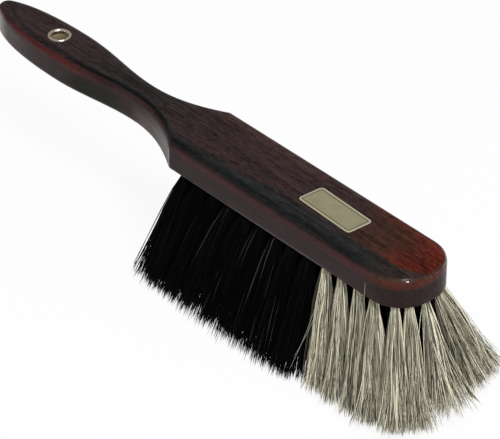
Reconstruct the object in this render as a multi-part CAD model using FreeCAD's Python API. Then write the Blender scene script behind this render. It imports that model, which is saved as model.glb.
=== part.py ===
import FreeCAD, Part
import math
import os

# Hand broom. A one-piece wooden back, a block with a shaped handle, carries rows of hair tufts.
# Each tuft is folded over a flat wire anchor at the bottom of its own drilled hole.
# A brass eyelet lines the hang hole in the handle, and a paper label lies on the block.
# Lengths are in millimetres and angles in degrees. +X runs from the handle to the nose and
# +Z is up. The broom stands on its bristle tips at Z = 0, and X = 0 is half way along it.
# While it is built, X = 0 lies at the shoulder, where the handle widens into the block.

Vector = FreeCAD.Vector

# Wooden back
wood_length = 330.0
block_length = 168.0
block_width = 41.5
wood_thickness = 17.0
nose_corner_radius = 18.4
top_edge_radius = 3.6
handle_under_radius = 2.6
block_under_radius = 1.0

# Handle outline seen from above. The widest and narrowest places lie at shares of the handle's
# length from its tip, and the reach of each curve is a share of its stretch.
tip_radius = 5.5
tip_flank_angle = 28.0
belly_width = 26.4
belly_place_share = 0.358
neck_width = 15.4
neck_place_share = 0.722
shoulder_angle = 29.0
shoulder_radius = 4.2
tip_reach_share = 0.22
belly_rear_reach_share = 0.47
belly_front_reach_share = 0.38
neck_rear_reach_share = 0.34
neck_front_reach_share = 0.43
shoulder_reach_share = 0.30

# Hang eyelet: a brass tube rolled outwards at both faces of the handle
eyelet_from_tip = 49.0
eyelet_bore = 9.2
eyelet_wall = 0.5
eyelet_rim_width = 1.2
eyelet_rim_height = 0.8
eyelet_throat = 0.6
eyelet_crest_share = 0.5
eyelet_clearance = 0.05

# Label
label_length = 38.0
label_width = 15.4
label_thickness = 0.2
label_corner_radius = 2.0
label_from_nose = 68.0
label_off_centre = 0.4
label_turn = -2.5

# Tuft holes: two border rows that meet round the nose, two inner rows and a centre row
hole_diameter = 4.8
hole_depth = 9.0
drill_point_angle = 118.0
border_inset = 4.2
first_rank_from_shoulder = 11.0
last_rank_from_nose = 21.4
long_row_steps = 12
light_ranks = 4
nose_turn_shares = [0.59, 0.29]
inner_row_share = 0.5

# Tufts: how far they lean at the ends and sides, and how long they are
handle_end_lean = 15.5
nose_lean = 20.0
side_lean = 18.5
nose_spread_share = 0.5
bristle_length = 64.0
stand_height = 60.5
flare_start = 3.0
tuft_gap = 0.6
tuft_clearance = 0.1

# Wire anchors
anchor_width = 1.8
anchor_thickness = 0.5
anchor_bite = 0.5
fold_height = 1.6

# How far a cutting shape runs past what it cuts, and how near two heights count as one
overrun = 3.0
level_tolerance = 0.001

shoulder_x = 0.0
tip_x = block_length - wood_length
nose_x = block_length
handle_length = shoulder_x - tip_x
neck_x = tip_x + handle_length * neck_place_share
half_width = block_width / 2
underside_z = stand_height
top_z = stand_height + wood_thickness
straight_end_x = nose_x - nose_corner_radius
nose_centre_y = half_width - nose_corner_radius
eyelet_x = tip_x + eyelet_from_tip
hole_radius = hole_diameter / 2
drill_point = hole_radius / math.tan(math.radians(drill_point_angle / 2))
border_y = half_width - border_inset
border_radius = nose_corner_radius - border_inset
border_nose_x = nose_x - border_inset
first_rank_x = shoulder_x + first_rank_from_shoulder
last_rank_x = nose_x - last_rank_from_nose


def turned(angle):
    """Unit vector in the XY plane at this many degrees from +X towards +Y."""
    return Vector(math.cos(math.radians(angle)), math.sin(math.radians(angle)), 0)


def arc(centre, radius, start_angle, end_angle):
    """Edge along a circular arc in the XY plane, between two angles in degrees."""
    middle_angle = (start_angle + end_angle) / 2
    points = [centre + turned(angle) * radius for angle in (start_angle, middle_angle, end_angle)]
    return Part.Arc(*points).toShape()


def curve(*poles):
    """Edge along the Bezier curve with these poles."""
    bezier = Part.BezierCurve()
    bezier.setPoles(list(poles))
    return bezier.toShape()


def turned_solid(profile):
    """Solid of revolution about the Z axis from a closed wire in the XZ plane."""
    return Part.Face(profile).revolve(Vector(0, 0, 0), Vector(0, 0, 1), 360)


def polygon_profile(points):
    """Closed wire in the XZ plane through (radius, height) points."""
    corners = [Vector(radius, 0, height) for radius, height in points]
    return Part.makePolygon(corners + corners[:1])


def half_outline():
    """Edges of the far half of the wooden back's outline, from the handle's tip to the nose."""
    tip_centre = Vector(tip_x + tip_radius, 0, underside_z)
    flank = tip_centre + turned(90 + tip_flank_angle) * tip_radius
    belly = Vector(tip_x + handle_length * belly_place_share, belly_width / 2, underside_z)
    neck = Vector(neck_x, neck_width / 2, underside_z)
    corner = Vector(shoulder_x, half_width, underside_z)
    side_end = Vector(straight_end_x, half_width, underside_z)
    nose_centre = Vector(straight_end_x, nose_centre_y, underside_z)
    along = Vector(1, 0, 0)
    corner_reach = shoulder_radius * math.tan(math.radians(shoulder_angle / 2))
    shoulder = corner - turned(shoulder_angle) * corner_reach
    side_start = corner + along * corner_reach
    shoulder_centre = side_start - Vector(0, shoulder_radius, 0)
    tip_stretch = belly.x - flank.x
    middle_stretch = neck.x - belly.x
    neck_stretch = shoulder.x - neck.x
    return [
        arc(tip_centre, tip_radius, 180, 90 + tip_flank_angle),
        curve(
            flank,
            flank + turned(tip_flank_angle) * (tip_stretch * tip_reach_share),
            belly - along * (tip_stretch * belly_rear_reach_share),
            belly,
        ),
        curve(
            belly,
            belly + along * (middle_stretch * belly_front_reach_share),
            neck - along * (middle_stretch * neck_rear_reach_share),
            neck,
        ),
        curve(
            neck,
            neck + along * (neck_stretch * neck_front_reach_share),
            shoulder - turned(shoulder_angle) * (neck_stretch * shoulder_reach_share),
            shoulder,
        ),
        arc(shoulder_centre, shoulder_radius, 90 + shoulder_angle, 90),
        Part.LineSegment(side_start, side_end).toShape(),
        arc(nose_centre, nose_corner_radius, 90, 0),
    ]


def is_level(edge, height):
    """Whether an edge lies flat at this height."""
    box = edge.BoundBox
    return box.ZLength < level_tolerance and abs(box.Center.z - height) < level_tolerance


def under_radius(point):
    """Rounding of the lower edge at a point: large along the handle, small from the shoulder on."""
    return handle_under_radius if point.x < neck_x + level_tolerance else block_under_radius


def rounded_below(shape):
    """Shape with its lower edges rounded, the radius changing evenly between neck and shoulder."""
    document = FreeCAD.newDocument()
    plain = document.addObject("Part::Feature", "plain")
    plain.Shape = shape
    rounding = document.addObject("Part::Fillet", "rounding")
    rounding.Base = plain
    rounding.Edges = [
        (
            number,
            under_radius(edge.valueAt(edge.FirstParameter)),
            under_radius(edge.valueAt(edge.LastParameter)),
        )
        for number, edge in enumerate(shape.Edges, 1)
        if is_level(edge, underside_z)
    ]
    document.recompute()
    rounded = rounding.Shape.copy()
    FreeCAD.closeDocument(document.Name)
    return rounded


def undrilled_back():
    """The wooden back with its edges rounded and no holes in it yet."""
    far_half = half_outline()
    near_half = [edge.mirror(Vector(0, 0, 0), Vector(0, 1, 0)) for edge in far_half]
    front = Part.LineSegment(
        Vector(nose_x, nose_centre_y, underside_z),
        Vector(nose_x, -nose_centre_y, underside_z),
    ).toShape()
    outline = Part.Wire(Part.__sortEdges__(far_half + [front] + near_half))
    back = Part.Face(outline).extrude(Vector(0, 0, wood_thickness))
    top_edges = [edge for edge in back.Edges if is_level(edge, top_z)]
    return rounded_below(back.makeFillet(top_edge_radius, top_edges))


def hang_eyelet():
    """Brass tube through the handle, rolled over both faces into a rounded rim."""
    bore = eyelet_bore / 2
    barrel = bore + eyelet_wall
    rim = barrel + eyelet_rim_width
    crest = bore + (rim - bore) * eyelet_crest_share

    def lip(face_z, outward):
        """Edges from the bore over the crest to the rim and in again along the wood's face."""
        throat_end = Vector(bore, 0, face_z - outward * eyelet_throat)
        crest_point = Vector(crest, 0, face_z + outward * eyelet_rim_height)
        rim_point = Vector(rim, 0, face_z)
        seat_end = Vector(barrel, 0, face_z)
        rise = eyelet_throat + eyelet_rim_height
        bend = math.sqrt(0.5)
        throat_bend = Vector(
            crest - (crest - bore) * bend,
            0,
            throat_end.z + outward * rise * bend,
        )
        rim_bend = Vector(
            crest + (rim - crest) * bend,
            0,
            face_z + outward * eyelet_rim_height * bend,
        )
        return throat_end, seat_end, [
            Part.Arc(throat_end, throat_bend, crest_point).toShape(),
            Part.Arc(crest_point, rim_bend, rim_point).toShape(),
            Part.LineSegment(rim_point, seat_end).toShape(),
        ]

    top_throat, top_seat, top_lip = lip(top_z, 1)
    low_throat, low_seat, low_lip = lip(underside_z, -1)
    inside = Part.LineSegment(low_throat, top_throat).toShape()
    outside = Part.LineSegment(top_seat, low_seat).toShape()
    profile = Part.Wire(Part.__sortEdges__(top_lip + [outside] + low_lip + [inside]))
    return turned_solid(profile).translated(Vector(eyelet_x, 0, 0))


def eyelet_hole():
    """Cutting cylinder for the eyelet's barrel."""
    radius = eyelet_bore / 2 + eyelet_wall + eyelet_clearance
    foot = Vector(eyelet_x, 0, underside_z - overrun)
    return Part.makeCylinder(radius, wood_thickness + 2 * overrun, foot)


def paper_label():
    """Label with rounded corners, flat on the block's top."""
    plate = Part.makeBox(
        label_length,
        label_width,
        label_thickness,
        Vector(-label_length / 2, -label_width / 2, 0),
    )
    upright = [edge for edge in plate.Edges if edge.BoundBox.ZLength > label_thickness / 2]
    plate = plate.makeFillet(label_corner_radius, upright)
    plate.Placement = FreeCAD.Placement(
        Vector(nose_x - label_from_nose, label_off_centre, top_z),
        FreeCAD.Rotation(Vector(0, 0, 1), label_turn),
    )
    return plate


def rank_places():
    """Hole places of the lengthwise rows, rank by rank from the handle end.

    Odd ranks have a hole in each border row and one in the centre row. Even ranks lie half
    way between them and have a hole in each inner row.
    """
    step = (last_rank_x - first_rank_x) / long_row_steps
    ranks = []
    for index in range(long_row_steps + 1):
        x = first_rank_x + index * step
        ranks.append([(x, -border_y), (x, 0.0), (x, border_y)])
        if index < long_row_steps:
            inner_y = border_y * inner_row_share
            inner_x = x + step / 2
            ranks.append([(inner_x, -inner_y), (inner_x, inner_y)])
    return ranks


def nose_places():
    """Hole places round the nose, from the near side to the far side."""
    turns = [90 * share for share in nose_turn_shares]
    far = [
        (
            straight_end_x + border_radius * math.cos(math.radians(turn)),
            nose_centre_y + border_radius * math.sin(math.radians(turn)),
        )
        for turn in turns
    ]
    near = [(x, -y) for x, y in far]
    return near + [(border_nose_x, 0.0)] + far[::-1]


def sorted_places():
    """Places of the black tufts by rank, and of the light tufts from the near side round the nose."""
    black = []
    near = []
    far = []
    light_from_x = last_rank_x - (last_rank_x - first_rank_x) * (light_ranks - 0.5) / long_row_steps
    for rank in rank_places():
        black.append([place for place in rank if place[0] < light_from_x or abs(place[1]) < border_y])
        near += [place for place in rank if place not in black[-1] and place[1] < 0]
        far += [place for place in rank if place not in black[-1] and place[1] > 0]
    return black, near + nose_places() + far[::-1]


def upward_axis(place):
    """Direction of a tuft's hole, from its mouth up into the wood.

    The tufts fan out: towards the handle at the first rank, forwards at the nose, and to each
    side at the border rows, in proportion to their place between those. Round the nose they
    spread sideways by a further share.
    """
    x, y = place
    rear_slope = math.tan(math.radians(handle_end_lean))
    front_slope = math.tan(math.radians(nose_lean))
    side_slope = math.tan(math.radians(side_lean))
    way_forward = (x - first_rank_x) / (border_nose_x - first_rank_x)
    slope_x = way_forward * (front_slope + rear_slope) - rear_slope
    way_round = max(0, x - straight_end_x) / border_radius
    slope_y = side_slope * y / border_y * (1 + nose_spread_share * way_round)
    return Vector(-slope_x, -slope_y, 1).normalize()


def edge_facing(place):
    """Angle in degrees from +X to the block's nearest side, or round the nose to its edge."""
    x, y = place
    if x <= straight_end_x:
        return 90.0
    from_centre = math.copysign(max(0, abs(y) - nose_centre_y), y)
    return math.degrees(math.atan2(from_centre, x - straight_end_x))


def seated(shape, place):
    """Shape moved from the origin to a hole's mouth, with Z up the hole and X towards the edge."""
    mouth = Vector(place[0], place[1], underside_z)
    lean = FreeCAD.Rotation(Vector(0, 0, 1), upward_axis(place))
    facing = FreeCAD.Rotation(Vector(0, 0, 1), edge_facing(place))
    moved = shape.copy()
    moved.Placement = FreeCAD.Placement(mouth, lean.multiply(facing))
    return moved


def tip_radii(places):
    """Radius of each tuft's tip, by place, so that neighbours stay a gap apart."""
    tips = {
        place: Vector(place[0], place[1], underside_z) - upward_axis(place) * bristle_length
        for place in places
    }
    radii = {}
    for place, tip in tips.items():
        nearest = min(tip.distanceToPoint(other) for key, other in tips.items() if key != place)
        radii[place] = (nearest - tuft_gap) / 2
    return radii


def tuft_hole():
    """Cutting shape of a drilled hole, with its mouth at the origin."""
    return turned_solid(polygon_profile([
        (0, -overrun),
        (hole_radius, -overrun),
        (hole_radius, hole_depth),
        (0, hole_depth + drill_point),
    ]))


def anchor_bar(clearance, reach):
    """Flat bar across a hole, enlarged by a clearance, that reaches this far past the hole's wall."""
    length = hole_diameter + 2 * reach
    thickness = anchor_thickness + 2 * clearance
    width = anchor_width + 2 * clearance
    middle = hole_depth - fold_height - anchor_width / 2
    corner = Vector(-length / 2, -thickness / 2, middle - width / 2)
    return Part.makeBox(length, thickness, width, corner)


def tuft(tip_radius_here):
    """Tuft with its root in the hole, folded over the anchor, and its tip below, before trimming."""
    root = hole_radius - tuft_clearance
    body = turned_solid(polygon_profile([
        (0, hole_depth + drill_point - tuft_clearance),
        (root, hole_depth - tuft_clearance),
        (root, -flare_start),
        (tip_radius_here, -bristle_length),
        (0, -bristle_length),
    ]))
    return body.cut(anchor_bar(tuft_clearance, overrun))


def trimmed(shape):
    """Tuft cut off level at the floor, where it reaches that far."""
    box = shape.BoundBox
    floor = Part.makeBox(
        box.XLength + 2 * overrun,
        box.YLength + 2 * overrun,
        stand_height,
        Vector(box.XMin - overrun, box.YMin - overrun, -stand_height),
    )
    return shape.cut(floor)


def tufts_at(places, radii):
    """One solid for each tuft at these places."""
    return [trimmed(seated(tuft(radii[place]), place)).Solids[0] for place in places]


def anchors_at(places):
    """One solid for each anchor at these places."""
    bar = anchor_bar(0, anchor_bite)
    return [seated(bar, place) for place in places]


def broom():
    """All pieces by node name, with the shoulder at X = 0."""
    black_ranks, light_places = sorted_places()
    black_places = [place for rank in black_ranks for place in rank]
    places = black_places + light_places
    radii = tip_radii(places)
    light_anchors = anchors_at(light_places)
    black_anchors = anchors_at(black_places)
    holes = [seated(tuft_hole(), place) for place in places]
    pieces = {
        "wooden_back": undrilled_back().cut(holes + light_anchors + black_anchors + [eyelet_hole()]),
        "hang_eyelet": hang_eyelet(),
        "paper_label": paper_label(),
        "light_tuft_anchors": Part.makeCompound(light_anchors),
        "black_tuft_anchors": Part.makeCompound(black_anchors),
    }
    for number, place in enumerate(light_places, 1):
        pieces[f"light_tuft_{number:02d}"] = tufts_at([place], radii)[0]
    for number, rank in enumerate(black_ranks, 1):
        pieces[f"black_tuft_rank_{number:02d}"] = Part.makeCompound(tufts_at(rank, radii))
    return pieces


def main():
    """Build the broom, centre it along X and write one file for each node."""
    pieces = broom()
    boxes = [shape.optimalBoundingBox() for shape in pieces.values()]
    rear = min(box.XMin for box in boxes)
    front = max(box.XMax for box in boxes)
    to_middle = Vector(-(rear + front) / 2, 0, 0)
    os.makedirs("parts", exist_ok=True)
    for name, shape in pieces.items():
        shape.translated(to_middle).exportStep(f"parts/{name}.step")


main()
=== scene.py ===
"""Looks of a hand broom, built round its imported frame.

The back keeps its frame solid and gets a lacquered wood finish. Every tuft solid is replaced by its
own bundle of hair strands. Lengths are in metres, in the frame's axes: +X to the nose, +Z up.
"""

import logging
import math
import random
from dataclasses import dataclass, field
from enum import Enum
from typing import Any, Iterator, Mapping, Optional, Sequence, Union

import bmesh
import bpy
import numpy as np
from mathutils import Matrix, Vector


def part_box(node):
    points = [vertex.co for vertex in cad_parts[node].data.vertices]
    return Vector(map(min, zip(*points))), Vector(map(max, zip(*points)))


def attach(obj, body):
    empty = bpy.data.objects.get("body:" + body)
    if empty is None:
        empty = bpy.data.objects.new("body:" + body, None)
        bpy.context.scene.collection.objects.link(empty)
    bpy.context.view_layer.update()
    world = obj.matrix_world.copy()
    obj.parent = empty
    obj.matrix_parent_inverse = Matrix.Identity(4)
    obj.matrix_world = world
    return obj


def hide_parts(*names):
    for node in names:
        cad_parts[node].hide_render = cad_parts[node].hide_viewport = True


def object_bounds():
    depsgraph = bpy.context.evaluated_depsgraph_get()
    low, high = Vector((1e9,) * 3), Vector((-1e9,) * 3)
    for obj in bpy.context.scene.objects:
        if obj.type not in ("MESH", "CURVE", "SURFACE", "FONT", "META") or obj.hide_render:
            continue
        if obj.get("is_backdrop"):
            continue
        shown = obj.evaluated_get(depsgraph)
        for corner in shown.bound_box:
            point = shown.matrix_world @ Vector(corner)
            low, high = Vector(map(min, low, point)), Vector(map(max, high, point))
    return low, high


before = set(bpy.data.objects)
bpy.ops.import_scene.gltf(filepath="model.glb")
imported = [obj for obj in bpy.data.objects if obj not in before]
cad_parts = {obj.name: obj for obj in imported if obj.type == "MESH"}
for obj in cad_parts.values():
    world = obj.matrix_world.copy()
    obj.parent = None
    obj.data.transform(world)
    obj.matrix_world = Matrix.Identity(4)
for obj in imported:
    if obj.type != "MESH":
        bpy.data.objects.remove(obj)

LOG = logging.getLogger("hand_broom")
CAD_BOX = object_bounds()
BODY = "root"
MM = 0.001
STRAND_TINT = "strand_tint"
Colour = tuple[float, float, float]


def mm(x: float, y: float, z: float) -> Vector:
    """A vector from its parts in millimetres."""
    return Vector((x, y, z)) * MM


def add_object(name: str, data: bpy.types.ID) -> bpy.types.Object:
    """Add an object at the origin.

    Args:
        name: Its name.
        data: Its mesh, light or camera.

    Returns:
        The object, linked to the scene.
    """
    made = bpy.data.objects.new(name, data)
    bpy.context.scene.collection.objects.link(made)
    return made


class HairKind(Enum):
    """The two kinds of hair, by the record's material slot."""

    LIGHT = "light_hair"
    BLACK = "black_hair"


class Signal:
    """A node's output, with arithmetic that adds Math nodes."""

    def __init__(self, graph: "Graph", socket: bpy.types.NodeSocket) -> None:
        """Wrap one output socket of a graph."""
        self.graph = graph
        self.socket = socket

    def math(self, operation: str, *others: "Value") -> "Signal":
        """Add a Math node with this value first.

        Args:
            operation: The Math node's operation.
            others: The node's further values.

        Returns:
            The node's result.
        """
        values = dict(enumerate((self, *others)))
        return self.graph.add("ShaderNodeMath", {"operation": operation}, values)

    def _after(self, operation: str, first: float) -> "Signal":
        """Add a Math node with a plain number first and this value second."""
        return self.graph.add("ShaderNodeMath", {"operation": operation}, {0: first, 1: self})

    def __add__(self, other: "Value") -> "Signal":
        """Sum."""
        return self.math("ADD", other)

    def __radd__(self, other: float) -> "Signal":
        """Sum with a number on the left."""
        return self._after("ADD", other)

    def __sub__(self, other: "Value") -> "Signal":
        """Difference."""
        return self.math("SUBTRACT", other)

    def __rsub__(self, other: float) -> "Signal":
        """Difference with a number on the left."""
        return self._after("SUBTRACT", other)

    def __mul__(self, other: "Value") -> "Signal":
        """Product."""
        return self.math("MULTIPLY", other)

    def __rmul__(self, other: float) -> "Signal":
        """Product with a number on the left."""
        return self._after("MULTIPLY", other)

    def __truediv__(self, other: "Value") -> "Signal":
        """Quotient."""
        return self.math("DIVIDE", other)

    def __abs__(self) -> "Signal":
        """Size without its sign."""
        return self.math("ABSOLUTE")

    def rise(self, low: "Value", high: "Value") -> "Signal":
        """Smooth step from 0 below low to 1 above high."""
        settings = {"interpolation_type": "SMOOTHSTEP"}
        return self.graph.add("ShaderNodeMapRange", settings, {0: self, 1: low, 2: high})

    def band(self, low: float, high: float, soft: float) -> "Signal":
        """1 between low and high, with soft edges of this width outside them."""
        return self.rise(low - soft, low) * (1 - self.rise(high, high + soft))

    def output(self, name: str) -> "Signal":
        """Another output of the same node."""
        return Signal(self.graph, self.socket.node.outputs[name])


Value = Union[Signal, float, Colour]


class Graph:
    """A material's nodes, or the world's."""

    MIXED_COLOUR = 2

    def __init__(self, tree: bpy.types.NodeTree) -> None:
        """Start with an empty tree."""
        tree.nodes.clear()
        self.tree = tree

    @classmethod
    def of_material(cls, name: str) -> tuple["Graph", bpy.types.Material]:
        """Make a material and the graph of its nodes.

        Args:
            name: The material's name.

        Returns:
            The empty graph and the material.
        """
        material = bpy.data.materials.new(name)
        material.use_nodes = True
        return cls(material.node_tree), material

    def add(
        self,
        kind: str,
        settings: Optional[Mapping[str, Any]] = None,
        values: Optional[Mapping[Union[int, str], Any]] = None,
        output: Union[int, str] = 0,
    ) -> Signal:
        """Add a node.

        Args:
            kind: The node's type.
            settings: Its properties, with a float curve's points as a list.
            values: Numbers, colours or signals by socket number, identifier or name.
            output: Which output to return.

        Returns:
            That output as a signal.
        """
        node = self.tree.nodes.new(kind)
        for key, setting in (settings or {}).items():
            if key == "points":
                self._set_points(node.mapping, setting)
            else:
                setattr(node, key, setting)
        for key, value in (values or {}).items():
            socket = self._input(node, key)
            if isinstance(value, Signal):
                self.tree.links.new(value.socket, socket)
            elif isinstance(value, tuple) and socket.type == "RGBA":
                socket.default_value = (*value, 1.0)
            else:
                socket.default_value = value
        return Signal(self, node.outputs[output])

    @staticmethod
    def _input(node: bpy.types.Node, key: Union[int, str]) -> bpy.types.NodeSocket:
        """Find a node's input.

        Args:
            node: The node.
            key: The input's number, identifier or name.

        Returns:
            The input.
        """
        if isinstance(key, int):
            return node.inputs[key]
        for socket in node.inputs:
            if socket.identifier == key:
                return socket
        return node.inputs[key]

    @staticmethod
    def _set_points(mapping: bpy.types.CurveMapping, points: Sequence[tuple[float, float]]) -> None:
        """Give a float curve its points.

        Args:
            mapping: The curve node's mapping.
            points: Places and heights, each from 0 to 1.
        """
        curve = mapping.curves[0]
        while len(curve.points) < len(points):
            curve.points.new(1.0, 1.0)
        for point, (across, up) in zip(curve.points, points):
            point.location = (across, up)
        mapping.update()

    def mix(self, factor: Value, first: Value, second: Value, blend: str = "MIX") -> Signal:
        """Mix two colours.

        Args:
            factor: How much of the second colour.
            first: The colour at 0.
            second: The colour at 1.
            blend: The way of mixing.

        Returns:
            The mixed colour.
        """
        return self.add(
            "ShaderNodeMix",
            {"data_type": "RGBA", "blend_type": blend},
            {"Factor_Float": factor, "A_Color": first, "B_Color": second},
            self.MIXED_COLOUR,
        )

    def place(self) -> tuple[Signal, Signal, Signal, Signal]:
        """Read the Object coordinates.

        Returns:
            The vector, and X, Y and Z in millimetres.
        """
        vector = self.add("ShaderNodeTexCoord", output="Object")
        parts = self.add("ShaderNodeSeparateXYZ", values={0: vector})
        x, y, z = (parts.output(name) * (1 / MM) for name in "XYZ")
        return vector, x, y, z

    def noise(
        self,
        vector: Signal,
        scale: tuple[float, float, float],
        detail: float = 2.0,
        roughness: float = 0.5,
        shift: float = 0.0,
    ) -> Signal:
        """Noise whose cells have their own size along each axis.

        Args:
            vector: The place.
            scale: Cells per metre along X, Y and Z.
            detail: Levels of finer noise.
            roughness: Weight of the finer levels.
            shift: Moves the pattern, so that two noises differ.

        Returns:
            Values about 0.5.
        """
        settings = {"vector_type": "POINT"}
        values = {"Vector": vector, "Location": (shift, shift, shift), "Scale": scale}
        spread = self.add("ShaderNodeMapping", settings, values)
        values = {"Vector": spread, "Scale": 1.0, "Detail": detail, "Roughness": roughness}
        return self.add("ShaderNodeTexNoise", values=values)

    def surface(self, values: Mapping[str, Any]) -> None:
        """End the graph in one Principled shader with these values."""
        shader = self.add("ShaderNodeBsdfPrincipled", values=values)
        self.add_output(shader)

    def add_output(self, shader: Signal) -> None:
        """Send a shader to the material's output."""
        node = self.tree.nodes.new("ShaderNodeOutputMaterial")
        self.tree.links.new(shader.socket, node.inputs["Surface"])

    def bump(self, height: Signal, distance: float, strength: float = 1.0) -> Signal:
        """Normal of a surface raised by this height times the distance."""
        values = {"Height": height, "Distance": distance, "Strength": strength}
        return self.add("ShaderNodeBump", values=values)


def dress(node: str, material: bpy.types.Material) -> None:
    """Give a frame node's object one material in all its slots.

    Args:
        node: The node's name.
        material: The material.
    """
    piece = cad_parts[node]
    if not piece.material_slots:
        piece.data.materials.append(material)
    for slot in piece.material_slots:
        slot.material = material
    LOG.info("dressed %s with %s", node, material.name)


@dataclass(frozen=True)
class LacqueredWood:
    """Dark red-brown stained wood under a thin clear lacquer.

    The stain lies nearly black along one top edge, is rubbed through to a red stripe below that
    edge and is brightest on the nose. Places are in millimetres, along the back from the tip, the
    shoulder or the nose, and down from the top.
    """

    tip_x: float
    shoulder_x: float
    nose_x: float
    top_z: float
    half_widths: Sequence[tuple[float, float]]
    tip_top: Colour = (0.0315, 0.0182, 0.0192)
    neck_top: Colour = (0.0212, 0.0152, 0.0152)
    block_top: Colour = (0.0291, 0.0152, 0.0152)
    far_top: Colour = (0.0450, 0.0240, 0.0210)
    nose_brown: Colour = (0.0360, 0.0142, 0.0091)
    nose_red: Colour = (0.0695, 0.0090, 0.0037)
    far_red: Colour = (0.0960, 0.0180, 0.0110)
    band: Colour = (0.0145, 0.0145, 0.0143)
    band_deep: Colour = (0.0082, 0.0094, 0.0096)
    nose_band: Colour = (0.0220, 0.0165, 0.0146)
    edge_stain: Colour = (0.0165, 0.0120, 0.0120)
    handle_line: Colour = (0.0190, 0.0115, 0.0125)
    neck_line: Colour = (0.0032, 0.0038, 0.0040)
    stripe: Colour = (0.0385, 0.0150, 0.0148)
    bright_stripe: Colour = (0.0708, 0.0170, 0.0160)
    nose_rim: Colour = (0.0700, 0.0150, 0.0085)
    side: Colour = (0.0310, 0.0190, 0.0190)
    grip_side: Colour = (0.0150, 0.0132, 0.0115)
    # Painted reflection on the neck's sides.
    neck_side_reflection: Colour = (0.0950, 0.0660, 0.0660)
    nose_side: Colour = (0.0190, 0.0115, 0.0105)
    # Painted reflection on the lower side near the tip.
    tip_side_reflection: Colour = (0.0660, 0.0480, 0.0480)
    # Painted highlight, used on the tip's side and down the shoulder's corner.
    painted_highlight: Colour = (0.3300, 0.2850, 0.2780)
    # Painted highlight along the block's lower edge.
    lower_edge_highlight: Colour = (0.1000, 0.0900, 0.0910)
    # Painted sparkle highlights on the nose.
    painted_sparkle: Colour = (0.3200, 0.1700, 0.1500)
    widest: float = 25.0
    handle_fade: tuple[float, float] = (58.0, 92.0)
    brown_from: float = 66.0
    red_from: float = 34.0
    red_full: float = 7.0

    def material(self) -> bpy.types.Material:
        """Make the material.

        Returns:
            The finished material.
        """
        graph, material = Graph.of_material("lacquered_wood")
        place, x, y, z = graph.place()
        grain = graph.noise(place, (36.0, 800.0, 600.0), 4.0, 0.7)
        pore = graph.noise(place, (240.0, 720.0, 560.0), 3.0, 0.7, 5.0)
        streak = graph.noise(place, (9.0, 260.0, 160.0), 3.0, 0.55, 3.0)
        cloud = graph.noise(place, (30.0, 70.0, 70.0), 2.0, 0.5, 7.0)
        speck = graph.noise(place, (1400.0, 1400.0, 1400.0), 1.0, 0.5, 11.0)
        dimple = graph.noise(place, (420.0, 700.0, 700.0), 2.0, 0.5, 13.0)

        on_tip = 1 - x.rise(*(self.tip_x + along for along in self.handle_fade))
        on_nose = x.rise(self.nose_x - self.red_from, self.nose_x - self.red_full)
        rounding = 4 - x.rise(self.tip_x + 4, self.tip_x + 44) * 4
        rounding += x.band(self.tip_x + 44, self.tip_x + 64, 16) * 1.8
        inside = self._half_width(graph, x) + y - rounding
        depth = self.top_z - z + (inside * -1).math("MAXIMUM", 0.0)
        flat = 1 - depth.rise(0.3, 1.5)
        top = self._top(graph, x, y, on_tip, on_nose, cloud)
        wander = (streak - 0.5) * 5 + (grain - 0.5) * 4
        top = self._near_band(graph, x, inside, top, on_tip, on_nose, wander)
        side = self._side(graph, x, depth - rounding * 0.5, on_nose, streak, cloud)
        colour = graph.mix(flat, side, top)
        fine = (grain - 0.5) * 3.2 + (pore - 0.5) * 3.0
        shade = 1 + fine * (0.35 + flat * 0.65) + (streak - 0.5) * 0.8
        colour = graph.mix(1.0, colour, shade, "MULTIPLY")
        # Painted highlights: small light specks on the nose's top stand in for glints on the
        # lacquer.
        painted_sparkles = speck.rise(0.70, 0.76) * on_nose * y.rise(-4, 10)
        colour = graph.mix(painted_sparkles * 0.8, colour, self.painted_sparkle)

        rim = depth.band(1.2, 2.4, 0.3) * on_nose * dimple.rise(0.38, 0.52)
        height = grain.rise(0.35, 0.6) * 0.4 + dimple * 0.6
        graph.surface({
            "Base Color": colour,
            "Roughness": 0.24 + (streak - 0.5) * 0.2 + (1 - grain) * 0.12,
            "IOR": 1.45,
            "Specular IOR Level": 0.07,
            "Coat Weight": 0.03 + rim * 0.97,
            "Coat Roughness": 0.08,
            "Normal": graph.bump(height, 0.00008, 0.5),
        })
        return material

    def _top(
        self, graph: Graph, x: Signal, y: Signal, on_tip: Signal, on_nose: Signal, cloud: Signal
    ) -> Signal:
        """Stain of the flat top, from the handle to the nose.

        Args:
            graph: The material's graph.
            x: Place along the back.
            y: Place across it.
            on_tip: 1 on the outer handle.
            on_nose: 1 at the nose.
            cloud: Slow noise.

        Returns:
            The colour.
        """
        colour = graph.mix(on_tip, self.neck_top, self.tip_top)
        on_block = x.rise(self.shoulder_x - 30, self.shoulder_x + 8)
        colour = graph.mix(on_block, colour, self.block_top)
        far = y.rise(9.5, 17.5) * on_block
        colour = graph.mix(far * cloud.rise(0.25, 0.6), colour, self.far_top)
        drift = (cloud - 0.5) * 30
        brown = (x + drift).rise(self.nose_x - self.brown_from, self.nose_x - self.red_from)
        colour = graph.mix(brown, colour, self.nose_brown)
        red = (x + drift * 0.5).rise(self.nose_x - self.red_from, self.nose_x - self.red_full)
        colour = graph.mix(red, colour, self.nose_red)
        far_nose = y.rise(12, 17) * (on_nose * 0.5 + brown * 0.5)
        return graph.mix(far_nose, colour, self.far_red)

    def _half_width(self, graph: Graph, x: Signal) -> Signal:
        """Half of the back's width along its length.

        Args:
            graph: The material's graph.
            x: Place along the back.

        Returns:
            The half width.
        """
        length = self.nose_x - self.tip_x
        points = [((at - self.tip_x) / length, half / self.widest) for at, half in self.half_widths]
        along = (x - self.tip_x) / length
        curve = graph.add("ShaderNodeFloatCurve", {"points": points}, {"Value": along})
        return curve * self.widest

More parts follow.
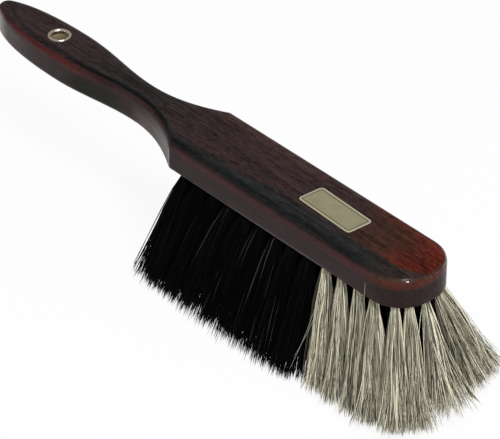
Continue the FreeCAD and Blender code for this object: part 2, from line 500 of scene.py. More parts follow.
    def _near_band(
        self,
        graph: Graph,
        x: Signal,
        inside: Signal,
        top: Signal,
        on_tip: Signal,
        on_nose: Signal,
        wander: Signal,
    ) -> Signal:
        """Dark stain along the near top edge, wide on the block and a line on the handle.

        Args:
            graph: The material's graph.
            x: Place along the back.
            inside: Distance from the near edge.
            top: The top's colour without the band.
            on_tip: 1 on the outer handle.
            on_nose: 1 at the nose.
            wander: Noise that breaks the band's edge, in millimetres.

        Returns:
            The top's colour with the band.
        """
        on_block = x.rise(self.shoulder_x - 22, self.shoulder_x + 2)
        reach = 2.8 + on_block * 5.7 + x.rise(self.shoulder_x + 38, self.shoulder_x + 74) * 3.5
        band = 1 - (inside + wander - reach).rise(-2.5, 1.5)
        strength = 0.4 + on_block * 0.55
        colour = graph.mix(on_nose, self.band, self.nose_band)
        top = graph.mix(band * strength, top, colour)
        deep = 1 - abs(inside + wander * 0.25 - 2.6).rise(0.6, 1.9 + on_block)
        line = graph.mix(on_tip, self.neck_line, self.handle_line)
        line = graph.mix(on_block, line, self.band_deep)
        return graph.mix(deep * (1 - on_nose), top, line)

    def _side(
        self,
        graph: Graph,
        x: Signal,
        depth: Signal,
        on_nose: Signal,
        streak: Signal,
        cloud: Signal,
    ) -> Signal:
        """Stain of the sides with the red stripe below the top edge, plus painted reflections and
        highlights.

        Args:
            graph: The material's graph.
            x: Place along the back.
            depth: Distance below the top.
            on_nose: 1 at the nose.
            streak: Noise drawn out along the grain.
            cloud: Slow noise.

        Returns:
            The colour.
        """
        tip, shoulder = self.tip_x, self.shoulder_x
        on_block = x.rise(shoulder - 10, shoulder + 4)
        low = depth.rise(3, 8)
        colour = graph.mix(x.band(tip + 80, tip + 98, 16), self.side, self.grip_side)
        colour = graph.mix(on_nose * low, colour, self.nose_side)
        # Painted reflection: a lighter patch low on the concave neck sides stands in for the
        # surroundings reflected there.
        neck_reflection = x.band(shoulder - 34, shoulder - 16, 14) * depth.rise(4.5, 9.5)
        colour = graph.mix(neck_reflection, colour, self.neck_side_reflection)
        # Painted reflection: the lower side near the tip is lightened as if it reflected its
        # surroundings.
        tip_reflection = 1 - x.rise(tip + 16, tip + 48)
        colour = graph.mix(tip_reflection * low, colour, self.tip_side_reflection)

        middle = 2.4 + on_block * 1.7 - on_nose * 0.5
        off_middle = abs(depth + (streak - 0.5) * 3 - middle)
        stripe = 1 - off_middle.rise(1.4 - on_block * 0.4, 4.6 - on_block * 1.2)
        patches = on_block * cloud.rise(0.48, 0.62) * 0.35
        bright = x.band(tip + 34, tip + 70, 20) + patches
        red = graph.mix(bright, self.stripe, self.bright_stripe)
        red = graph.mix(on_nose, red, self.nose_rim)
        faded = x.band(tip + 100, shoulder - 4, 14) * 0.5 + on_nose * 0.25
        colour = graph.mix(stripe * (1 - faded), colour, red)
        edge = (1 - depth.rise(1.4, 3.2)) * on_block
        colour = graph.mix(edge, colour, graph.mix(on_nose, self.edge_stain, self.nose_brown))
        # Painted highlight: a light line along the block's lower edge, broken by streaks and fading
        # before the nose, stands in for light on its small rounding.
        lower_highlight = depth.band(15.6, 16.5, 0.4) * on_block * streak.rise(0.3, 0.5)
        lower_highlight *= 1 - x.rise(self.nose_x - 70, self.nose_x - 40)
        colour = graph.mix(lower_highlight * 0.8, colour, self.lower_edge_highlight)
        # Painted highlight: a light line down the shoulder's corner stands in for light caught by
        # its rounded edge.
        corner = x.band(shoulder - 0.9, shoulder + 0.1, 0.7) * depth.rise(4, 7)
        colour = graph.mix(corner * 0.8, colour, self.painted_highlight)
        # Painted highlight: the side at the very tip is lightened as if it caught light at a
        # grazing angle.
        tip_highlight = 1 - x.rise(tip + 3, tip + 18)
        return graph.mix(tip_highlight * depth.rise(1.5, 6) * 0.95, colour, self.painted_highlight)


@dataclass(frozen=True)
class PaleBrass:
    """Pale brass of the eyelet, tarnished in its throat."""

    bright: Colour = (0.74, 0.67, 0.55)
    tarnish: Colour = (0.34, 0.27, 0.165)
    groove: Colour = (0.22, 0.17, 0.11)
    top_z: float = 77.5

    def material(self) -> bpy.types.Material:
        """Make the material.

        Returns:
            The finished material.
        """
        graph, material = Graph.of_material("pale_brass")
        place, _, _, z = graph.place()
        blotch = graph.noise(place, (420.0, 420.0, 420.0), 3.0, 0.6)
        scratch = graph.noise(place, (2600.0, 500.0, 900.0), 2.0, 0.5, 2.0)
        inside = 1 - z.rise(self.top_z - 2.8, self.top_z - 1.2)
        dull = (inside + blotch.rise(0.5, 0.75) * 0.4).math("MINIMUM", 1.0)
        steps = z.band(self.top_z - 0.5, self.top_z - 0.3, 0.15) + z.band(
            self.top_z - 1.2, self.top_z - 1.0, 0.15
        )
        colour = graph.mix(dull, self.bright, self.tarnish)
        graph.surface({
            "Base Color": graph.mix(steps * 0.7, colour, self.groove),
            "Metallic": 1 - inside * 0.75,
            "Roughness": 0.26 + dull * 0.2 + (scratch - 0.5) * 0.12,
            "Normal": graph.bump(scratch, 0.00003, 0.4),
        })
        return material


@dataclass(frozen=True)
class LabelPaper:
    """Olive-cream paper with a pale cut edge and one thin printed border, otherwise blank.

    Places are in millimetres.
    """

    centre: tuple[float, float]
    turn: float
    half_length: float = 19.0
    half_width: float = 7.7
    corner_radius: float = 2.0
    border_inset: float = 1.4
    line_width: float = 0.4
    paper: Colour = (0.205, 0.185, 0.098)
    pale: Colour = (0.46, 0.44, 0.32)
    line: Colour = (0.088, 0.080, 0.046)

    def material(self) -> bpy.types.Material:
        """Make the material.

        Returns:
            The finished material.
        """
        graph, material = Graph.of_material("label_paper")
        place, x, y, _ = graph.place()
        cos, sin = math.cos(self.turn), math.sin(self.turn)
        across, up = x - self.centre[0], y - self.centre[1]
        along = abs(across * cos + up * sin)
        beside = abs(up * cos - across * sin)
        round_x = (along - (self.half_length - self.corner_radius)).math("MAXIMUM", 0.0)
        round_y = (beside - (self.half_width - self.corner_radius)).math("MAXIMUM", 0.0)
        corner = (round_x * round_x + round_y * round_y).math("SQRT")
        straight = (along - self.half_length).math("MAXIMUM", beside - self.half_width)
        edge = self.corner_radius - corner
        inset = edge.math("MINIMUM", -1 * straight)
        fibre = graph.noise(place, (900.0, 900.0, 900.0), 4.0, 0.65)
        cloud = graph.noise(place, (120.0, 160.0, 100.0), 2.0, 0.5, 4.0)
        colour = graph.mix((fibre - 0.5) * 0.5 + cloud * 0.35, self.paper, self.pale)
        line = inset.band(self.border_inset, self.border_inset + self.line_width, 0.12)
        colour = graph.mix(line * fibre.rise(0.25, 0.45), colour, self.line)
        colour = graph.mix(1 - inset.rise(0.35, 0.75), colour, self.pale)
        graph.surface({
            "Base Color": colour,
            "Roughness": 0.5 + (fibre - 0.5) * 0.3,
            "Specular IOR Level": 0.3,
            "Normal": graph.bump(fibre, 0.00003, 0.5),
        })
        return material


@dataclass(frozen=True)
class AnchorWire:
    """Drawn steel wire of the tufts' anchors."""

    steel: Colour = (0.52, 0.52, 0.53)
    dark: Colour = (0.30, 0.29, 0.28)

    def material(self) -> bpy.types.Material:
        """Make the material.

        Returns:
            The finished material.
        """
        graph, material = Graph.of_material("anchor_wire")
        place, _, _, _ = graph.place()
        drawn = graph.noise(place, (3000.0, 400.0, 3000.0), 3.0, 0.6)
        graph.surface({
            "Base Color": graph.mix(drawn.rise(0.4, 0.7), self.steel, self.dark),
            "Metallic": 1.0,
            "Roughness": 0.3 + drawn * 0.2,
            "Normal": graph.bump(drawn, 0.00002, 0.5),
        })
        return material


@dataclass(frozen=True)
class StrandFinish:
    """Hair, coloured strand by strand through an attribute of the mesh."""

    kind: HairKind
    roughness: float
    shine: float

    def material(self) -> bpy.types.Material:
        """Make the material.

        Returns:
            The finished material.
        """
        graph, material = Graph.of_material(self.kind.value)
        place, _, _, _ = graph.place()
        tint = graph.add("ShaderNodeAttribute", {"attribute_name": STRAND_TINT}, output="Color")
        scale = graph.noise(place, (2200.0, 2200.0, 500.0), 2.0, 0.5)
        shade = graph.mix(scale.rise(0.35, 0.7) * 0.35, (1.0, 1.0, 1.0), (0.55, 0.53, 0.5))
        graph.surface({
            "Base Color": graph.mix(1.0, tint, shade, "MULTIPLY"),
            "Roughness": self.roughness + (scale - 0.5) * 0.2,
            "Specular IOR Level": self.shine,
        })
        return material


@dataclass(frozen=True)
class Tuft:
    """One tuft: its mouth, the way it grows, its reach at the tips and its length."""

    mouth: Vector
    way: Vector
    tip_radius: float
    length: float


@dataclass
class TuftLayout:
    """Places and leans of the tufts, from the same sizes as the frame's solids."""

    shoulder_x: float
    underside_z: float = 60.5 * MM
    block_length: float = 168.0 * MM
    half_width: float = 20.75 * MM
    nose_corner_radius: float = 18.4 * MM
    border_inset: float = 4.2 * MM
    first_rank_from_shoulder: float = 11.0 * MM
    last_rank_from_nose: float = 21.4 * MM
    long_row_steps: int = 12
    light_ranks: int = 4
    nose_turn_shares: Sequence[float] = (0.59, 0.29)
    inner_row_share: float = 0.5
    handle_end_lean: float = math.radians(15.5)
    nose_lean: float = math.radians(20.0)
    side_lean: float = math.radians(18.5)
    nose_spread_share: float = 0.5
    bristle_length: float = 64.0 * MM
    tuft_gap: float = 0.6 * MM
    border_share: float = 0.9

    def __post_init__(self) -> None:
        """Work out the lines that the holes lie on."""
        self.border_y = self.half_width - self.border_inset
        self.border_radius = self.nose_corner_radius - self.border_inset
        self.straight_end = self.block_length - self.nose_corner_radius
        self.nose_centre_y = self.half_width - self.nose_corner_radius
        self.nose_end = self.block_length - self.border_inset
        self.last_rank = self.block_length - self.last_rank_from_nose
        self.step = (self.last_rank - self.first_rank_from_shoulder) / self.long_row_steps

    def ranks(self) -> list[list[tuple[float, float]]]:
        """Hole places of the lengthwise rows.

        Returns:
            The places rank by rank, from the handle end.
        """
        ranks = []
        inner = self.border_y * self.inner_row_share
        for index in range(self.long_row_steps + 1):
            x = self.first_rank_from_shoulder + index * self.step
            ranks.append([(x, -self.border_y), (x, 0.0), (x, self.border_y)])
            if index < self.long_row_steps:
                ranks.append([(x + self.step / 2, -inner), (x + self.step / 2, inner)])
        return ranks

    def nose(self) -> list[tuple[float, float]]:
        """Hole places round the nose.

        Returns:
            The places from the near side to the far side.
        """
        turns = [math.pi / 2 * share for share in self.nose_turn_shares]
        far = [
            (
                self.straight_end + self.border_radius * math.cos(turn),
                self.nose_centre_y + self.border_radius * math.sin(turn),
            )
            for turn in turns
        ]
        return [(x, -y) for x, y in far] + [(self.nose_end, 0.0)] + far[::-1]

    def way(self, place: tuple[float, float]) -> Vector:
        """Direction in which a tuft grows.

        Args:
            place: Its hole's place, from the shoulder and the middle.

        Returns:
            The direction, of length 1.
        """
        x, y = place
        rear, front = math.tan(self.handle_end_lean), math.tan(self.nose_lean)
        start = self.first_rank_from_shoulder
        slope_x = (x - start) / (self.nose_end - start) * (front + rear) - rear
        way_round = max(0.0, x - self.straight_end) / self.border_radius
        slope_y = math.tan(self.side_lean) * y / self.border_y
        slope_y *= 1 + self.nose_spread_share * way_round
        return Vector((slope_x, slope_y, -1.0)).normalized()

    def tufts(self) -> dict[str, list[Tuft]]:
        """Work out every tuft.

        Returns:
            The tufts by frame node.
        """
        by_node: dict[str, list[tuple[float, float]]] = {}
        near, far = [], []
        last_black = self.last_rank - (self.light_ranks - 0.5) * self.step
        border = self.border_y * self.border_share
        for number, rank in enumerate(self.ranks(), 1):
            light = [p for p in rank if p[0] > last_black and abs(p[1]) > border]
            near += [p for p in light if p[1] < 0]
            far += [p for p in light if p[1] > 0]
            by_node[f"black_tuft_rank_{number:02d}"] = [p for p in rank if p not in light]
        for number, place in enumerate(near + self.nose() + far[::-1], 1):
            by_node[f"light_tuft_{number:02d}"] = [place]
        places = [place for group in by_node.values() for place in group]
        tips = {p: Vector((*p, 0.0)) + self.way(p) * self.bristle_length for p in places}
        found = {}
        for node, group in by_node.items():
            found[node] = []
            for place in group:
                others = (tips[key] for key in tips if key != place)
                nearest = min((tips[place] - other).length for other in others)
                way = self.way(place)
                mouth = Vector((place[0] + self.shoulder_x, place[1], self.underside_z))
                length = min(self.bristle_length, self.underside_z / -way.z)
                found[node].append(Tuft(mouth, way, (nearest - self.tuft_gap) / 2, length))
        return found


@dataclass(frozen=True)
class HairStyle:
    """How the strands of one kind of hair grow."""

    kind: HairKind
    count: int
    thickness: tuple[float, float]
    ragged: float
    spread: float
    bow: float
    curl: float
    wave: float
    crossing: float
    stray_share: float
    flare_power: float
    locks: int
    lock_share: float
    lock_width: float
    tip_gather: float
    shares: Sequence[float]
    tints: Sequence[tuple[float, Colour]]
    tint_spread: float = 0.28
    # Scales of each strand's colour at its root and from a few points down; the black hair's lower
    # root scale is painted shade.
    root_shade: float = 0.62
    tip_shade: float = 1.0
    glint_share: float = 0.0
    glint: Colour = (0.0, 0.0, 0.0)


@dataclass(frozen=True)
class Course:
    """The way that a hair, or the hairs of one lock, take through a tuft."""

    start: Vector
    end: Vector
    bow_way: Vector
    bow: float
    curl: float
    wave: float
    cycles: float
    phase: float
    length_share: float
    tint: Colour


@dataclass
class Strand:
    """One hair: points with radii and a tint at each."""

    points: list[Vector]
    radii: list[float]
    tints: list[Colour]


@dataclass
class HairBundle:
    """The strands that stand for one frame node's tufts."""

    node: str
    tufts: list[Tuft]
    style: HairStyle
    seed: int
    sweep: Vector = field(default_factory=Vector)
    full: float = 1.0
    strays: Sequence[tuple[Vector, Vector]] = ()
    root_radius: float = 1.75 * MM
    flare_start: float = 1.0 * MM
    root_depth: float = 4.0 * MM
    floor_gap: float = 0.2 * MM
    uneven_trim: float = 1.4 * MM
    overgrowth: float = 0.6 * MM
    lock_shortening: float = 3.0
    root_looseness: float = 0.35
    widest_end: float = 1.2
    wildness: float = 2.0
    taper: float = 0.4
    shaded_points: int = 4
    brightest: float = 0.9

    @staticmethod
    def _vary(rng: random.Random, size: float) -> float:
        """A random offset, mostly within this size and never beyond twice it."""
        return max(-2 * size, min(2 * size, rng.gauss(0, size)))

    def _course(self, tuft: Tuft, rng: random.Random) -> Course:
        """Draw a way through a tuft.

        Args:
            tuft: The tuft.
            rng: The bundle's own random numbers.

        Returns:
            The course, with its ends as shares of the tuft's root and tip radius.
        """
        style = self.style
        aside = tuft.way.orthogonal().normalized()
        across = tuft.way.cross(aside)

        def spoke(angle: float) -> Vector:
            """Unit vector across the tuft at an angle."""
            return aside * math.cos(angle) + across * math.sin(angle)

        angle = rng.uniform(0, 2 * math.pi)
        out = math.sqrt(rng.random())
        end_out = abs(out + self._vary(rng, style.crossing * 0.5))
        end_out = min(self.widest_end, end_out) * style.spread
        wild = self.wildness if rng.random() < style.stray_share else 1.0
        pick = rng.random()
        base = next((tint for limit, tint in style.tints if pick < limit), style.tints[-1][1])
        level = math.exp(rng.gauss(0, style.tint_spread))
        return Course(
            start=spoke(angle) * out,
            end=spoke(angle + self._vary(rng, style.crossing)) * end_out,
            bow_way=spoke(rng.uniform(0, 2 * math.pi)),
            bow=self._vary(rng, style.bow) * wild,
            curl=self._vary(rng, style.curl) * wild,
            wave=rng.uniform(0.3, 1.0) * style.wave,
            cycles=rng.uniform(0.8, 2.2),
            phase=rng.uniform(0, 2 * math.pi),
            length_share=1 - style.ragged * rng.random() ** 2.2,
            tint=tuple(part * level for part in base),
        )

    def _strand(self, tuft: Tuft, course: Course, loose: float, rng: random.Random) -> Strand:
        """Grow one strand of a tuft.

        Args:
            tuft: The tuft it grows in.
            course: The way it takes.
            loose: How far it may stand off that way.
            rng: The bundle's own random numbers.

        Returns:
            The strand, from its root in the hole to its tip.
        """
        style = self.style
        aside = course.bow_way
        across = tuft.way.cross(aside)
        off = aside * self._vary(rng, loose) + across * self._vary(rng, loose)
        length = tuft.length * course.length_share + abs(rng.gauss(0, self.overgrowth))
        length -= abs(rng.gauss(0, loose)) * self.lock_shortening
        thick = rng.uniform(*style.thickness) / 2
        curl = course.curl + self._vary(rng, loose)

        def at(share: float) -> Vector:
            """Work out the strand's centre.

            Args:
                share: How far along the strand, from 0 at the mouth to 1 at the tip.

            Returns:
                The point.
            """
            down = length * share
            flare = max(0.0, (down - self.flare_start) / (tuft.length - self.flare_start))
            flare = flare ** style.flare_power
            reach = course.start * (self.root_radius * (1 - flare))
            reach += course.end * (tuft.tip_radius * self.full * flare)
            reach += aside * (course.bow * 4 * share * (1 - share) + curl * share * share)
            turns = 2 * math.pi * course.cycles * share + course.phase
            reach += across * (course.wave * math.sin(turns) * min(1.0, 3 * share))
            reach += off * (self.root_looseness + share) * (1 - style.tip_gather * share ** 3)
            reach += self.sweep * share
            return tuft.mouth + tuft.way * down + reach

        root = tuft.mouth - tuft.way * self.root_depth + course.start * self.root_radius
        low = self.floor_gap + rng.uniform(0, self.uneven_trim)
        length *= min(1.0, (tuft.mouth.z - low) / (tuft.mouth.z - at(1.0).z))
        points = [root, *(at(share) for share in (*style.shares, 1.0))]
        for point in points:
            point.z = max(point.z, self.floor_gap)
        return Strand(points, self._radii(thick), self._tints(len(points), course.tint, rng))

    def _radii(self, thick: float) -> list[float]:
        """Radii along one strand, which ends in a point at its root and tip."""
        return [0.0, *(thick * (1 - self.taper * share ** 4) for share in self.style.shares), 0.0]

    def _stray(self, tuft: Tuft, bend: Vector, end: Vector, rng: random.Random) -> Strand:
        """One hair that leaves the tuft on a curve of its own.

        Args:
            tuft: The tuft it grows in.
            bend: The point that the curve bends towards, from the tuft's mouth.
            end: Its tip, from the tuft's mouth.
            rng: The bundle's own random numbers.

        Returns:
            The strand.
        """
        style = self.style
        points = [tuft.mouth - tuft.way * self.root_depth]
        for share in (*style.shares, 1.0):
            points.append(tuft.mouth + bend * (2 * share * (1 - share)) + end * share ** 2)
        thick = style.thickness[0] / 2
        return Strand(points, self._radii(thick), self._tints(len(points), style.tints[-2][1], rng))

    def _tints(self, count: int, tint: Colour, rng: random.Random) -> list[Colour]:
        """Colours along one strand, scaled from its root on, which paints shade at the black hair's
        roots.

        Args:
            count: How many points the strand has.
            tint: Its own colour.
            rng: The bundle's own random numbers.

        Returns:
            A colour for each point.
        """
        style = self.style
        level = math.exp(rng.gauss(0, style.tint_spread / 2))
        glint = rng.random() < style.glint_share
        first = rng.randint(1, count - 3)
        last = first + rng.randint(0, 1)
        tints = []
        for index in range(count):
            # Painted shade darkens the black hair near its roots under the back; the light hair is
            # made lighter at its roots and a little darker towards its tips.
            along = min(1.0, index / self.shaded_points)
            fade = style.root_shade + (style.tip_shade - style.root_shade) * along
            scale = min(level * fade, self.brightest / max(tint))
            colour = tuple(part * scale for part in tint)
            if glint and first <= index <= last:
                colour = style.glint
            tints.append(colour)
        return tints

    def _grow(self, tuft: Tuft, rng: random.Random) -> Iterator[Strand]:
        """Grow a tuft's strands, some of them in locks.

        Args:
            tuft: The tuft.
            rng: The bundle's own random numbers.

        Yields:
            The strands, with the strays last.
        """
        style = self.style
        locks = [self._course(tuft, rng) for _ in range(style.locks)]
        for _ in range(style.count):
            if rng.random() < style.lock_share:
                yield self._strand(tuft, rng.choice(locks), style.lock_width, rng)
            else:
                yield self._strand(tuft, self._course(tuft, rng), 0.0, rng)
        for bend, end in self.strays:
            yield self._stray(tuft, bend, end, rng)

    def build(self, material: bpy.types.Material) -> bpy.types.Object:
        """Make the bundle's mesh and its place in the frame.

        Args:
            material: The hair's material.

        Returns:
            The finished piece.
        """
        rng = random.Random(self.seed)
        strands = [strand for tuft in self.tufts for strand in self._grow(tuft, rng)]
        mesh = self._tubes(strands)
        piece = add_object(f"strands_{self.node}", mesh)
        mesh.materials.append(material)
        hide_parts(self.node)
        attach(piece, BODY)
        LOG.info("built %s with %d strands", piece.name, len(strands))
        return piece

    def _tubes(self, strands: Sequence[Strand]) -> bpy.types.Mesh:
        """Thin closed tubes along the strands.

        Args:
            strands: The strands.

        Returns:
            The mesh, with the strands' tints and a map that gives each strand a cell.
        """
        curve = bpy.data.curves.new(self.node, "CURVE")
        curve.dimensions = "3D"
        curve.bevel_depth = MM
        curve.bevel_resolution = 0
        for strand in strands:
            spline = curve.splines.new("POLY")
            spline.points.add(len(strand.points) - 1)
            spline.points.foreach_set("co", [c for p in strand.points for c in (*p, 1.0)])
            spline.points.foreach_set("radius", [radius / MM for radius in strand.radii])
        holder = bpy.data.objects.new(self.node + "_lines", curve)
        mesh = bpy.data.meshes.new_from_object(holder)
        bpy.data.objects.remove(holder)
        bpy.data.curves.remove(curve)
        mesh.name = f"strands_{self.node}"
        self._tint(mesh, strands)
        self._map(mesh, strands)
        shape = bmesh.new()
        shape.from_mesh(mesh)
        bmesh.ops.remove_doubles(shape, verts=shape.verts, dist=MM * MM)
        shape.to_mesh(mesh)
        shape.free()
        return mesh

    @staticmethod
    def _tint(mesh: bpy.types.Mesh, strands: Sequence[Strand]) -> None:
        """Write each strand's tints to the mesh.

        Args:
            mesh: The mesh of the tubes, strand after strand.
            strands: The strands.
        """
        sides = len(mesh.vertices) // sum(len(strand.points) for strand in strands)
        rings = np.array([(*tint, 1.0) for strand in strands for tint in strand.tints], np.float32)
        tints = mesh.color_attributes.new(STRAND_TINT, "FLOAT_COLOR", "POINT")
        tints.data.foreach_set("color", np.repeat(rings, sides, axis=0).ravel())

    @staticmethod
    def _map(mesh: bpy.types.Mesh, strands: Sequence[Strand]) -> None:
        """Lay each strand out in a cell of its own on a UV map of the mesh.

        Args:
            mesh: The mesh of the tubes, strand after strand.
            strands: The strands, all with the same number of points.
        """
        slimness, side_margin, end_margin = 4, 0.1, 0.05
        for layer in list(mesh.uv_layers):
            mesh.uv_layers.remove(layer)
        rings = len(strands[0].points)
        sides = len(mesh.vertices) // (rings * len(strands))
        loops = np.empty(len(mesh.loops), np.int32)
        mesh.loops.foreach_get("vertex_index", loops)
        quads = loops.reshape(-1, 4)
        side = quads % sides
        wraps = (side.max(1) == sides - 1) & (side.min(1) == 0)
        side = np.where(wraps[:, None] & (side == 0), sides, side)
        ring = quads // sides % rings
        strand = quads // (sides * rings)
        columns = math.ceil(math.sqrt(len(strands) * slimness))
        rows = math.ceil(len(strands) / columns)
        u = (strand % columns + side_margin + (1 - 2 * side_margin) * side / sides) / columns
        v = (strand // columns + end_margin + (1 - 2 * end_margin) * ring / (rings - 1)) / rows
        layer = mesh.uv_layers.new(name="OFBake")
        layer.uv.foreach_set("vector", np.stack([u, v], -1).astype(np.float32).ravel())


@dataclass
class HairField:
    """All tufts of the broom, black along the block and light round the nose."""

    layout: TuftLayout
    black: HairStyle = HairStyle(
        kind=HairKind.BLACK,
        count=400,
        thickness=(0.26 * MM, 0.40 * MM),
        ragged=0.05,
        spread=1.28,
        bow=0.7 * MM,
        curl=1.9 * MM,
        wave=0.15 * MM,
        crossing=0.3,
        stray_share=0.03,
        flare_power=0.36,
        locks=70,
        lock_share=0.4,
        lock_width=0.45 * MM,
        tip_gather=0.3,
        shares=(0.0, 0.05, 0.2, 0.42, 0.66, 0.86, 0.96),
        tints=((0.85, (0.0012, 0.0011, 0.0014)), (1.0, (0.0040, 0.0036, 0.0042))),
        glint_share=0.05,
        glint=(0.060, 0.060, 0.070),
    )
    light: HairStyle = HairStyle(
        kind=HairKind.LIGHT,
        count=640,
        thickness=(0.18 * MM, 0.35 * MM),
        ragged=0.12,
        spread=1.0,
        bow=1.8 * MM,
        curl=2.3 * MM,
        wave=0.7 * MM,
        crossing=0.9,
        stray_share=0.06,
        flare_power=2.0,
        locks=60,
        lock_share=0.35,
        lock_width=0.35 * MM,
        tip_gather=0.3,
        shares=(0.0, 0.05, 0.18, 0.32, 0.46, 0.60, 0.74, 0.88, 0.96),
        tints=(
            (0.24, (0.085, 0.079, 0.056)),
            (0.48, (0.27, 0.254, 0.186)),
            (0.74, (0.54, 0.515, 0.392)),
            (1.0, (0.90, 0.868, 0.700)),
        ),
        tint_spread=0.42,
        root_shade=1.15,
        tip_shade=0.95,
    )
    sweeps: Mapping[str, Vector] = field(default_factory=lambda: {
        "black_tuft_rank_01": mm(9.0, 0.0, 0.0),
        "black_tuft_rank_02": mm(6.0, 0.0, 0.0),
        "black_tuft_rank_03": mm(3.0, 0.0, 0.0),
        "light_tuft_01": mm(5.0, 3.0, 0.0),
        "light_tuft_02": mm(4.0, 3.0, 0.0),
        "light_tuft_03": mm(3.0, 3.0, 0.0),
        "light_tuft_04": mm(2.0, 3.0, 0.0),
        "light_tuft_05": mm(0.0, 3.0, 0.0),
        "light_tuft_06": mm(-1.0, 2.5, 0.0),
        "light_tuft_07": mm(-2.5, 0.5, 4.0),
        "light_tuft_08": mm(-3.5, -2.5, 5.0),
        "light_tuft_09": mm(-1.5, -0.5, 3.0),
        "light_tuft_10": mm(1.0, 3.0, 0.0),
        "light_tuft_11": mm(0.5, 3.0, 0.0),
        "light_tuft_12": mm(0.5, 2.0, 0.0),
    })
    fullness: Mapping[str, float] = field(default_factory=lambda: {
        "light_tuft_06": 1.15,
        "light_tuft_07": 1.25,
        "light_tuft_08": 1.25,
        "light_tuft_09": 1.1,
    })
    strays: Mapping[str, Sequence[tuple[Vector, Vector]]] = field(default_factory=lambda: {
        "light_tuft_01": (
            (mm(14.5, -19.0, -14.3), mm(1.6, -25.0, -50.9)),
            (mm(13.2, -14.0, -21.9), mm(7.7, -22.0, -50.4)),
            (mm(16.9, -16.0, -10.3), mm(3.4, -24.0, -42.9)),
        ),
        "light_tuft_04": (
            (mm(0.0, -8.0, -38.0), mm(0.0, -6.0, 10.8)),
        ),
    })
    seed: int = 41

    def build(self) -> Iterator[bpy.types.Object]:
        """Build one bundle of strands for each tuft node.

        Yields:
            The finished pieces.
        """
        materials = {
            HairKind.BLACK: StrandFinish(HairKind.BLACK, roughness=0.5, shine=0.05).material(),
            HairKind.LIGHT: StrandFinish(HairKind.LIGHT, roughness=0.45, shine=0.12).material(),
        }
        for number, (node, tufts) in enumerate(self.layout.tufts().items()):
            style = self.light if node.startswith("light") else self.black
            sweep = self.sweeps.get(node, Vector())
            strays = self.strays.get(node, ())
            full = self.fullness.get(node, 1.0)
            bundle = HairBundle(node, tufts, style, self.seed + number, sweep, full, strays)
            yield bundle.build(materials[style.kind])


@dataclass
class WoodenBack:
    """The one-piece back with what is fixed to it: eyelet, label and anchors."""

    eyelet: str = "hang_eyelet"
    wood: str = "wooden_back"
    label: str = "paper_label"
    anchors: Sequence[str] = ("light_tuft_anchors", "black_tuft_anchors")
    block_length: float = 168.0
    label_turn: float = math.radians(-2.5)
    stations: int = 30

    def half_widths(self) -> list[tuple[float, float]]:
        """Read the back's half widths from its frame mesh.

        Returns:
            Places along the back and the half widths there, in millimetres.
        """
        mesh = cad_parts[self.wood].data
        points = np.empty(3 * len(mesh.vertices))
        mesh.vertices.foreach_get("co", points)
        ends = np.empty(2 * len(mesh.edges), np.int32)
        mesh.edges.foreach_get("vertices", ends)
        first, last = points.reshape(-1, 3)[ends.reshape(-1, 2)].transpose(1, 0, 2) / MM
        found = []
        for x in np.linspace(first[:, 0].min(), first[:, 0].max(), self.stations + 2)[1:-1]:
            across = (first[:, 0] - x) * (last[:, 0] - x) < 0
            start, step = first[across], (last - first)[across]
            y = start[:, 1] + step[:, 1] * (x - start[:, 0]) / step[:, 0]
            found.append((float(x), float(abs(y).max())))
        return found

    def dress(self) -> None:
        """Give the frame's rigid nodes their finishes."""
        low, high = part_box(self.wood)
        nose_x, top_z = high.x / MM, high.z / MM
        shoulder_x = nose_x - self.block_length
        wood = LacqueredWood(
            tip_x=low.x / MM,
            shoulder_x=shoulder_x,
            nose_x=nose_x,
            top_z=top_z,
            half_widths=self.half_widths(),
        )
        dress(self.wood, wood.material())
        dress(self.eyelet, PaleBrass(top_z=top_z).material())
        label_low, label_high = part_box(self.label)
        middle = (label_low + label_high) / (2 * MM)
        dress(self.label, LabelPaper((middle.x, middle.y), self.label_turn).material())
        wire = AnchorWire().material()
        for node in self.anchors:
            dress(node, wire)


@dataclass(frozen=True)
class SoftLight:
    """A square soft light: its direction from what it faces, distance, side and power."""

    name: str
    way: tuple[float, float, float]
    distance: float
    size: float
    power: float

    def build(self, target: Vector) -> None:
        """Set the light up.

        Args:
            target: The point that it faces.
        """
        data = bpy.data.lights.new(self.name, "AREA")
        data.shape = "SQUARE"
        data.size = self.size
        data.energy = self.power
        light = add_object(self.name, data)
        way = Vector(self.way).normalized()
        light.location = target + way * self.distance
        light.rotation_euler = way.to_track_quat("Z", "Y").to_euler()


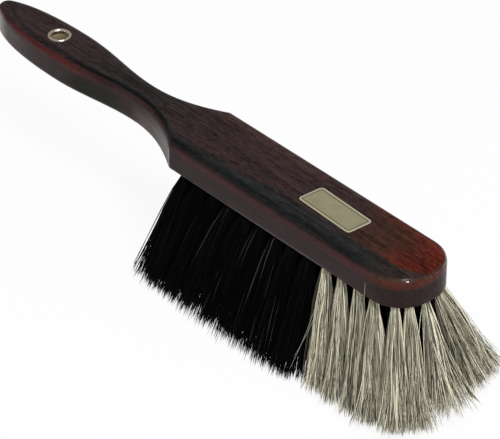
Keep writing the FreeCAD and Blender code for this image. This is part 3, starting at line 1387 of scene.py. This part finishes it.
@dataclass
class Studio:
    """Floor, lights and the camera at the photograph's angle."""

    azimuth: float = math.radians(49.007)
    elevation: float = math.radians(34.599)
    distance: float = 1.652564
    lens: float = 247.051
    sensor: float = 36.0
    shoulder_x: float = 0.0
    target_from_shoulder: Vector = field(
        default_factory=lambda: Vector((0.075098, -0.03224, 0.07380))
    )
    floor_half: float = 6.0
    floor_white: Colour = (0.90, 0.90, 0.90)
    floor_glow: float = 0.92
    world_light: float = 0.36
    lights: Sequence[SoftLight] = (
        SoftLight("key_light", (0.48, -0.16, 0.86), distance=1.6, size=0.42, power=18.0),
        SoftLight("fill_light", (0.836, -0.354, 0.419), distance=2.2, size=0.3, power=14.0),
    )

    def __post_init__(self) -> None:
        """Work out the point that the camera looks at."""
        self.target = self.target_from_shoulder + Vector((self.shoulder_x, 0.0, 0.0))

    def build(self) -> None:
        """Build the whole studio."""
        self._floor()
        self._world()
        for light in self.lights:
            light.build(self.target)
        self._camera()
        bpy.context.scene.view_settings.view_transform = "Standard"

    def _floor(self) -> None:
        """A wide pale floor that keeps the object's shadow and shows white to the camera."""
        shape = bmesh.new()
        bmesh.ops.create_grid(shape, x_segments=1, y_segments=1, size=self.floor_half)
        mesh = bpy.data.meshes.new("studio_floor")
        shape.to_mesh(mesh)
        shape.free()
        floor = add_object("studio_floor", mesh)
        floor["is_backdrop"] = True
        graph, material = Graph.of_material("studio_floor")
        path = graph.add("ShaderNodeLightPath", output="Is Camera Ray")
        seen = path.math("MAXIMUM", path.output("Is Glossy Ray"))
        seen = seen.math("MAXIMUM", path.output("Is Transmission Ray"))
        matt = graph.add("ShaderNodeBsdfDiffuse", values={"Color": self.floor_white})
        glow = graph.add("ShaderNodeEmission", values={"Color": (1.0, 1.0, 1.0), "Strength": 1.0})
        shown = graph.add(
            "ShaderNodeMixShader", values={0: seen * self.floor_glow, 1: matt, 2: glow}
        )
        graph.add_output(shown)
        mesh.materials.append(material)

    def _world(self) -> None:
        """Even soft light from all round."""
        world = bpy.data.worlds.new("studio_world")
        world.use_nodes = True
        graph = Graph(world.node_tree)
        sky = graph.add(
            "ShaderNodeBackground", values={"Color": (1.0, 1.0, 1.0), "Strength": self.world_light}
        )
        node = world.node_tree.nodes.new("ShaderNodeOutputWorld")
        world.node_tree.links.new(sky.socket, node.inputs["Surface"])
        bpy.context.scene.world = world

    def _camera(self) -> None:
        """The camera at the photograph's viewing angle."""
        data = bpy.data.cameras.new("camera")
        data.sensor_width = self.sensor
        data.lens = self.lens
        data.clip_end = 100.0
        camera = add_object("camera", data)
        level = math.cos(self.elevation)
        back = Vector((
            math.sin(self.azimuth) * level,
            -math.cos(self.azimuth) * level,
            math.sin(self.elevation),
        ))
        camera.location = self.target + back * self.distance
        camera.rotation_euler = back.to_track_quat("Z", "Y").to_euler()
        bpy.context.scene.camera = camera


def write_sizes() -> None:
    """Work out the frame's box and the dressed broom's box as plain lists, and keep neither.
    """
    boxes = {"cad": CAD_BOX, "visual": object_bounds()}
    {name: [list(corner) for corner in box] for name, box in boxes.items()}


def main() -> None:
    """Build the broom's looks and the studio round it."""
    logging.basicConfig(level=logging.INFO)
    back = WoodenBack()
    back.dress()
    shoulder_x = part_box(back.wood)[1].x - back.block_length * MM
    layout = TuftLayout(shoulder_x)
    for piece in HairField(layout).build():
        LOG.info("%s holds %d faces", piece.name, len(piece.data.polygons))
    Studio(shoulder_x=shoulder_x).build()
    write_sizes()


if __name__ == "__main__":
    main()
